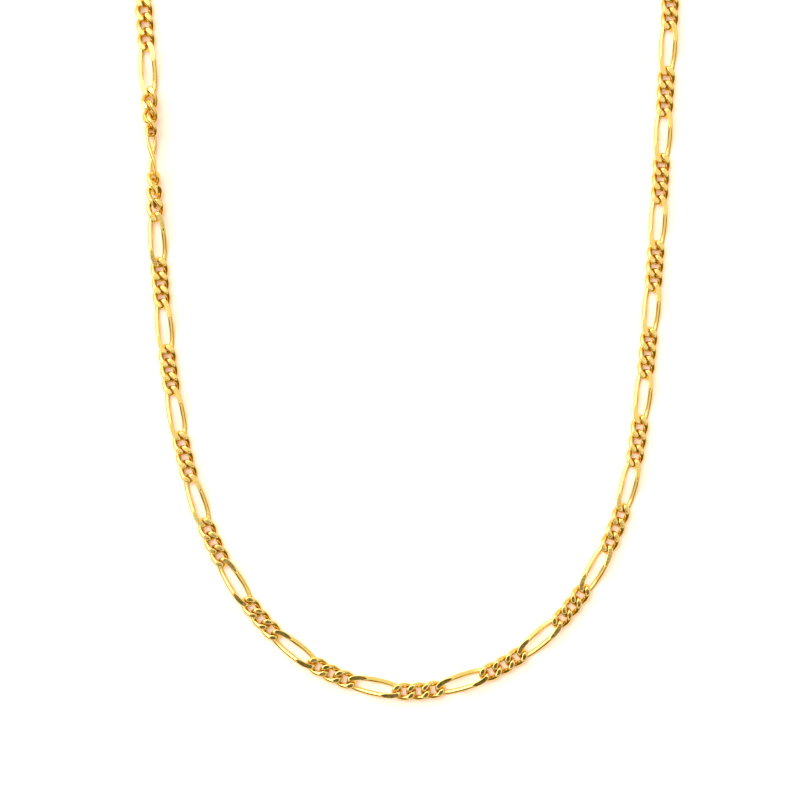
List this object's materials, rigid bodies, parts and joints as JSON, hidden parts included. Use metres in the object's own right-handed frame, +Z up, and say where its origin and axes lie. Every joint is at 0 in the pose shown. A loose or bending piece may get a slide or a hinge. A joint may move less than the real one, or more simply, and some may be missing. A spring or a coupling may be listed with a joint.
{
  "type": "figaro chain necklace",
  "caption": "Neck chain of flattened, twisted oval links, groups of short ones between long ones, lying in a closed U-shaped loop with a plain barrel clasp.",
  "frame": {"origin": "middle of the loop's box, on the plane that the chain lies on", "axes": "+X across the loop to the right as worn seen from the front, +Y from the bottom of the U to the clasp, +Z up out of the plane"},
  "size_m": [0.0966, 0.1844, 0.0032],
  "materials": {
    "link_gold": "polished",
    "ring_gold": "polished",
    "clasp_gold": "polished"
  },
  "bodies": {
    "root": {"chain_left": "link_gold", "chain_right": "link_gold", "jump_ring_left": "ring_gold", "clasp": "clasp_gold", "jump_ring_right": "ring_gold"}
  },
  "joints": []
}
